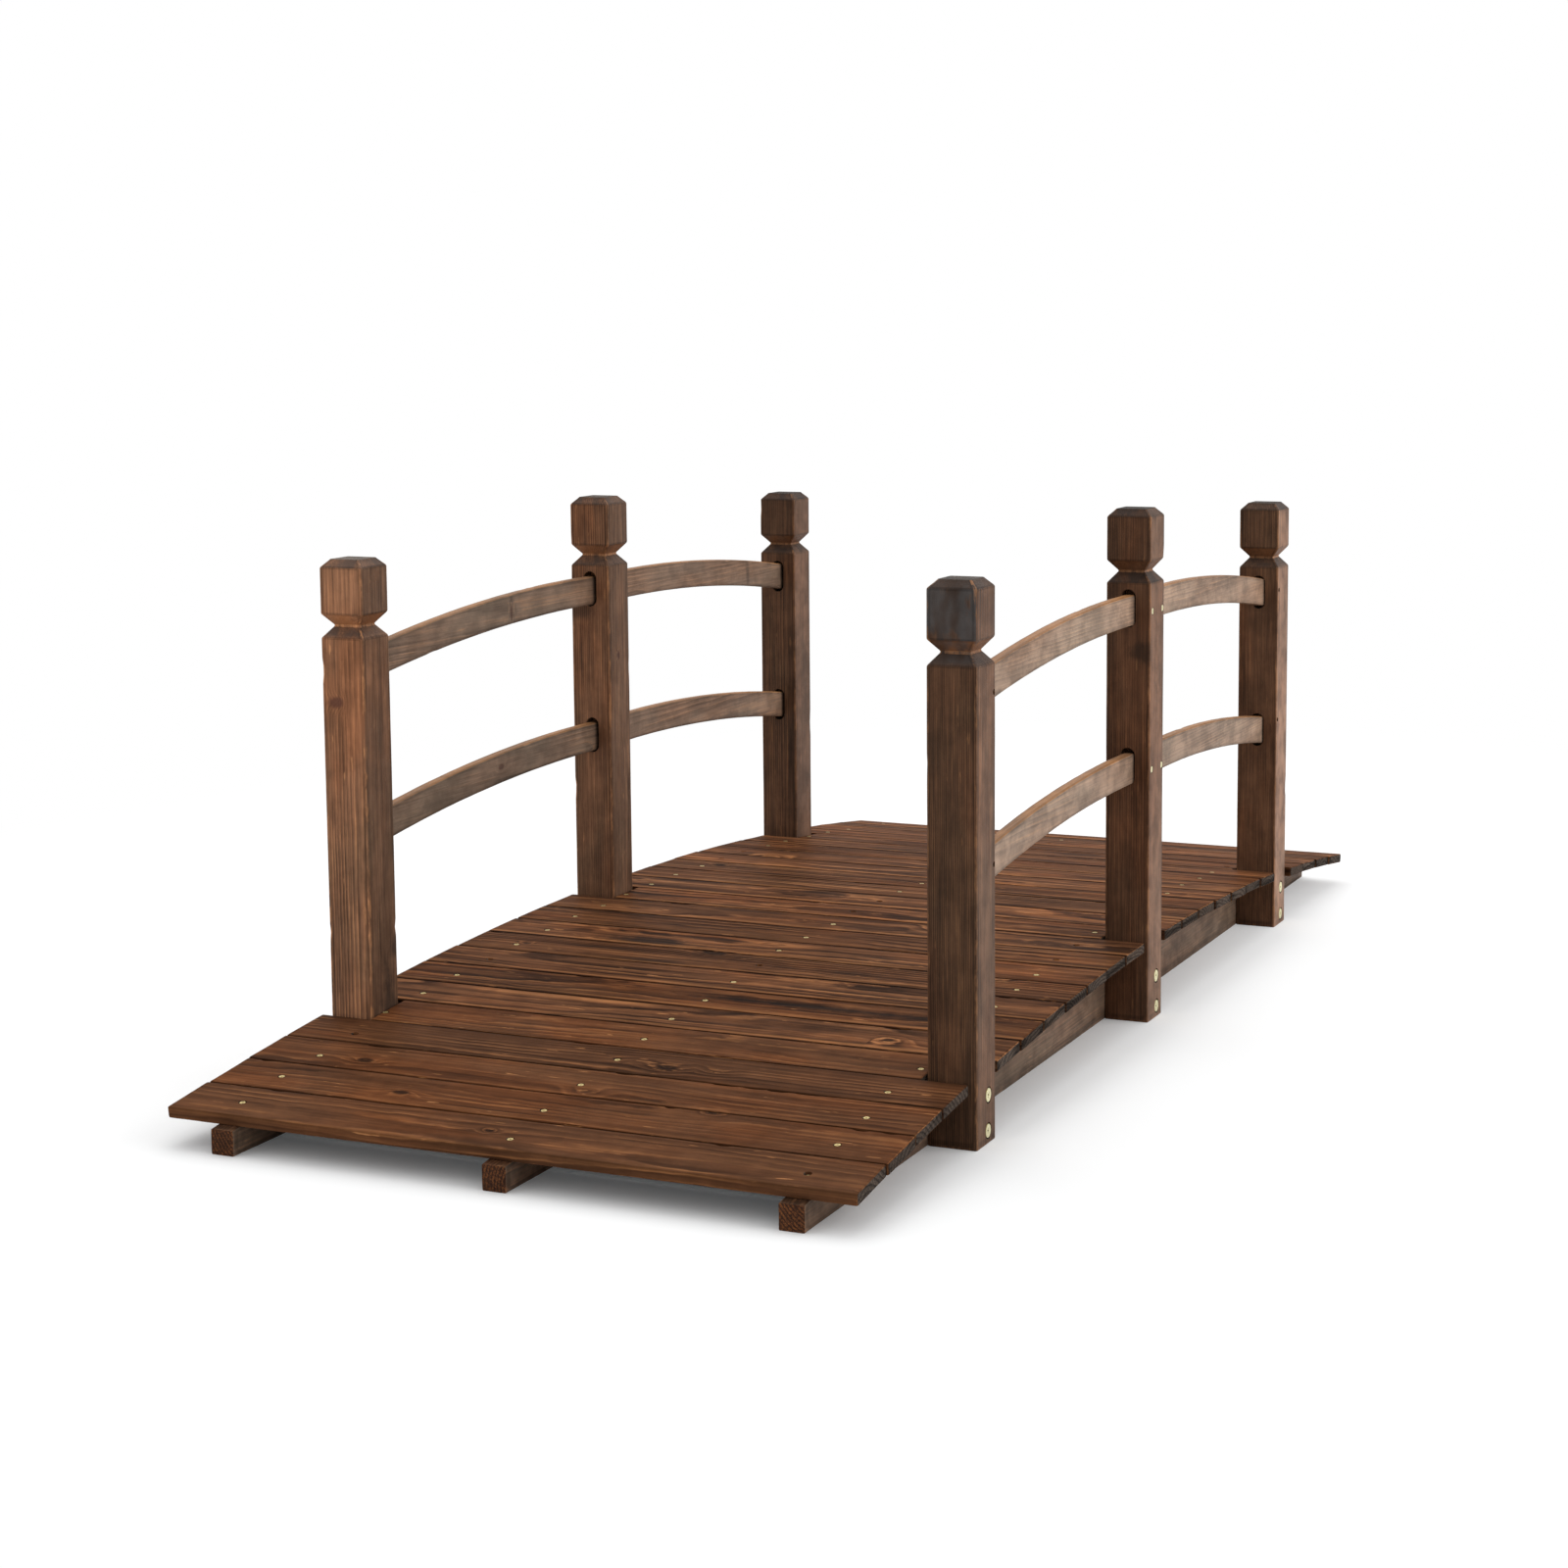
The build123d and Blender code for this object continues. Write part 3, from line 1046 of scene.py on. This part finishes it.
for side_name, side in {"right": -1, "left": 1}.items():
    for place_name, place in places_along.items():
        post = f"post_{place_name}_{side_name}"
        centre_x = place * post_pitch
        for foot_z in foot_heights:
            foot_x = centre_x + screw_rng.uniform(0.004, 0.006)
            drive_screw(foot_screws, post, foot_x, foot_z, side, foot_seat)
        for drop in (0.0, rail_spacing):
            if place == 0:
                for step in middle_steps:
                    drive_screw(rail_screws, post, step, middle_screw_height - drop, side, flush_seat)
            else:
                rail_x = centre_x - place * end_step
                rail_z = end_screw_height - drop * end_drop_share
                drive_screw(rail_screws, post, rail_x, rail_z, side, deep_seat)


def make_post(node, seed):
    low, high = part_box(node)
    rng = np.random.default_rng(seed)
    centre = (low + high) / 2
    up, halves = post_profile(high.z)
    ring, corner, nearness = rounded_ring(
        1.0, 1.0, post_edge_round / (post_size / 2), 8, 8, fine=(0.05, 0.14), reach=0.05,
    )
    stations = len(up)
    edge_points = 400
    wear = np.zeros((stations, len(ring)))
    shaped = ring[None] * halves[:, None, None]
    for edge in range(4):
        back = chipped_edge(rng, edge_points, high.z, 0.00012, 2.0, 0.0007)
        back = np.interp(up, np.linspace(0, high.z, edge_points), back)
        touched = (corner == edge) * nearness
        shaped -= worn_back(back, touched, ring)
        wear += arris_wear(back, touched, 0.4, 0.66)
    # The breaks round the head and the bottom of the neck are worn too
    bending = np.abs(np.gradient(np.gradient(halves, up), up))
    ridge = np.clip(bending * 0.0012, 0, 1) * (halves > post_size / 2 - 0.004)
    wear = np.maximum(wear, ridge[:, None] * 0.9)
    wear[halves < post_size / 2 - neck_depth + 0.0012] = 0.8
    rings = np.zeros((stations, len(ring), 3))
    rings[..., 0] = centre.x + shaped[..., 0]
    rings[..., 1] = centre.y + shaped[..., 1]
    rings[..., 2] = up[:, None]
    piece = lofted(f"{node}_timber", rings, wear)
    cutters = [slot_cutter(centre, *place) for place in slot_places(node)]
    for matrix, recess_radius, recess_depth in recesses[node]:
        cutters.append(cone_cutter(recess_radius, recess_radius * 0.8, 2 * recess_depth, matrix))
    bpy.context.view_layer.update()
    cut(piece, cutters)
    sharpen(piece, 50)
    tone, char, pale = post_looks[node]
    finish_timber(piece, node, post_wood, tone, char, pale, rng.random())


for post_seed, post_name in enumerate(post_names):
    make_post(post_name, 900 + post_seed)


# Screws
def metal_material(name, tint, roughness, worn_share):
    """Plated steel with worn spots, and painted shade in the cross and under the rim."""
    g = Graph(bpy.data.materials.new(name))
    spots_a_metre = 900.0
    where = g.scaled(g.node("ShaderNodeTexCoord").outputs["Object"], spots_a_metre)
    spots = g.noise(where, detail=3.0, roughness=0.6)
    worn = tuple(channel * worn_share for channel in tint[:3]) + (1.0,)
    shade = g.ramp(spots, [(0.3, worn), (0.62, tint)])
    # Painted shade: the deeper a point sits below the head's top, the darker it is
    recess_shade = g.range(g.attribute("sunk"), 0.1, 0.7, 0.0, 0.9)
    shade = g.mix(recess_shade, shade, colour(22, 18, 14))
    rough = g.range(spots, 0.3, 0.7, roughness + 0.15, roughness)
    return g.finish(shade, rough, g.bump(spots, 0.3, 0.0001), "Metallic", 0.85)


dull_metal = metal_material("screw_zinc_dull", colour(204, 184, 128), 0.5, 0.35)
bright_metal = metal_material("screw_zinc_bright", colour(248, 240, 196), 0.35, 0.75)


def screw_head(radius):
    """A countersunk head with a cross recess, flat side up at the origin."""
    height = radius * 0.6
    cross_length = radius * 1.05
    cross_width = radius * 0.28
    shape = bmesh.new()
    bmesh.ops.create_cone(
        shape, cap_ends=True, segments=28, radius1=radius * 0.55, radius2=radius, depth=height,
    )
    bmesh.ops.translate(shape, vec=(0, 0, -height / 2), verts=shape.verts)
    rim = [e for e in shape.edges if all(v.co.z > -0.0001 for v in e.verts)]
    bmesh.ops.bevel(shape, geom=rim, offset=radius * 0.08, segments=2, affect="EDGES")
    mesh = bpy.data.meshes.new("screw_head")
    shape.to_mesh(mesh)
    shape.free()
    head = link(bpy.data.objects.new("screw_head", mesh))
    cutters = []
    for turn in (0, 90):
        bar = bmesh.new()
        bmesh.ops.create_cube(bar, size=1.0)
        for vertex in bar.verts:
            narrow = 1.0 if vertex.co.z > 0 else 0.5
            x, y, z = vertex.co
            vertex.co = Vector((x * cross_length * narrow, y * cross_width * narrow, z * height))
        cross = bpy.data.meshes.new("cross")
        bar.to_mesh(cross)
        bar.free()
        cutter = link(bpy.data.objects.new("cross", cross))
        cutter.matrix_world = Matrix.Rotation(math.radians(turn), 4, "Z")
        cutters.append(cutter)
    bpy.context.view_layer.update()
    cut(head, cutters)
    return head


def scatter_screws(name, radius, places, metal):
    """One piece that holds a head at each place, turned its own way."""
    head = screw_head(radius)
    points = np.array([vertex.co for vertex in head.data.vertices])
    faces = [tuple(polygon.vertices) for polygon in head.data.polygons]
    depths = np.clip(-points[:, 2] / (0.25 * radius), 0, 1)
    all_points, all_faces = [], []
    for matrix, turn in places:
        turned = matrix @ Matrix.Rotation(math.radians(turn), 4, "Z")
        base = len(all_points) * len(points)
        all_points.append(placed(points, turned))
        all_faces += [tuple(base + i for i in face) for face in faces]
    mesh = bpy.data.meshes.new(name)
    mesh.from_pydata(np.concatenate(all_points).tolist(), [], all_faces)
    mesh.validate()
    sunk = mesh.attributes.new("sunk", "FLOAT", "POINT")
    sunk.data.foreach_set("value", np.tile(depths, len(places)))
    piece = link(bpy.data.objects.new(name, mesh))
    piece.data.materials.append(metal)
    bpy.data.objects.remove(head)
    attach(piece, "root")


scatter_screws("deck_screws", deck_screw_radius, deck_screw_places, dull_metal)
scatter_screws("foot_screws", foot_screw_radius, foot_screws, bright_metal)
scatter_screws("rail_screws", rail_screw_radius, rail_screws, bright_metal)


# Floor, light and camera
floor_colour = 0.8
floor_seen_as = 0.9
shadow_lift = 0.045
floor_reach = 40
world_light = 0.72


def white_floor():
    """White, with the shadow kept near the bridge but painted paler towards the far end and the sides,
    and plain white to the camera further out.
    """
    g = Graph(bpy.data.materials.new("floor_white"))
    seen = g.node("ShaderNodeLightPath").outputs["Is Camera Ray"]
    shade = g.range(seen, 0.0, 1.0, floor_colour, floor_seen_as)
    body = g.fed("ShaderNodeBsdfDiffuse", g.vector(shade, shade, shade))
    lift = g.fed("ShaderNodeEmission", (0.9, 1.0, 1.05, 1.0), g.times(seen, shadow_lift))
    lifted = g.fed("ShaderNodeAddShader", body.outputs[0], lift.outputs[0])
    glow = g.node("ShaderNodeEmission")
    where = g.split(g.node("ShaderNodeTexCoord").outputs["Object"])
    squares = g.plus(g.power(g.times(where[0], 0.75), 2.0), g.power(where[1], 2.0))
    gone = g.math("SQRT", squares)
    # Painted light: glow pales the floor's shadow towards the far end and beside the bridge
    beyond = g.times(g.range(where[0], -0.2, 0.8), 0.3)
    aside = g.times(g.range(g.math("ABSOLUTE", where[1]), 0.25, 0.43), 0.25)
    share = g.most(g.range(gone, 0.85, 1.5), g.plus(beyond, aside))
    share = g.times(share, seen)
    both = g.fed("ShaderNodeMixShader", share, lifted.outputs[0], glow.outputs[0])
    g.feed(g.out.inputs[0], both.outputs[0])
    return g.owner


floor_mesh = bpy.data.meshes.new("floor")
floor_corners = [(x * floor_reach, y * floor_reach, 0) for x, y in ((-1, -1), (1, -1), (1, 1), (-1, 1))]
floor_mesh.from_pydata(floor_corners, [], [(0, 1, 2, 3)])
floor = link(bpy.data.objects.new("floor", floor_mesh))
floor.data.materials.append(white_floor())

studio = Graph(bpy.data.worlds.new("studio"), "ShaderNodeOutputWorld")
rays = studio.node("ShaderNodeLightPath").outputs
shown = studio.most(rays["Is Camera Ray"], rays["Is Glossy Ray"])
strength = studio.range(shown, 0.0, 1.0, world_light, 1.0, smooth=False)
sky = studio.fed("ShaderNodeBackground", (1, 1, 1, 1), strength)
studio.feed(studio.out.inputs[0], sky.outputs[0])
bpy.context.scene.world = studio.owner


def softbox(name, place, aim, width, height, watts):
    lamp = bpy.data.lights.new(name, "AREA")
    lamp.shape = "RECTANGLE"
    lamp.size = width
    lamp.size_y = height
    lamp.energy = watts
    holder = link(bpy.data.objects.new(name, lamp))
    holder.location = place
    holder.rotation_euler = (Vector(aim) - Vector(place)).to_track_quat("-Z", "Y").to_euler()


softbox("key_right", (0.3, -3.2, 1.7), (0, 0, 0.2), 3.2, 2.4, 43)
softbox("fill_left", (-1.4, 2.6, 2.6), (0, 0, 0.2), 3.2, 3.0, 9)
softbox("top_back", (1.0, 0.6, 3.1), (0, 0, 0), 3.4, 3.4, 60)

# The camera is the one that the photograph's perspective gives
camera_place = (-2.7336, -1.1620, 0.7102)
camera_yaw = 0.4272
camera_pitch = -0.1242
camera_roll = -0.0092
focal_pixels = 2974.95
photo_pixels = 1600
optical_centre_row = 680
forward = Vector((
    math.cos(camera_yaw) * math.cos(camera_pitch),
    math.sin(camera_yaw) * math.cos(camera_pitch),
    math.sin(camera_pitch),
))
level_right = forward.cross(Vector((0, 0, 1))).normalized()
level_up = level_right.cross(forward)
right = level_right * math.cos(camera_roll) + level_up * math.sin(camera_roll)
upward = level_up * math.cos(camera_roll) - level_right * math.sin(camera_roll)
lens = bpy.data.cameras.new("camera")
lens.sensor_width = 36.0
lens.lens = focal_pixels / photo_pixels * lens.sensor_width
lens.shift_y = (optical_centre_row - photo_pixels / 2) / photo_pixels
camera = link(bpy.data.objects.new("camera", lens))
camera_turn = Matrix((right, upward, -forward)).transposed().to_4x4()
camera.matrix_world = Matrix.Translation(camera_place) @ camera_turn
bpy.context.scene.camera = camera
bpy.context.scene.view_settings.view_transform = "Standard"
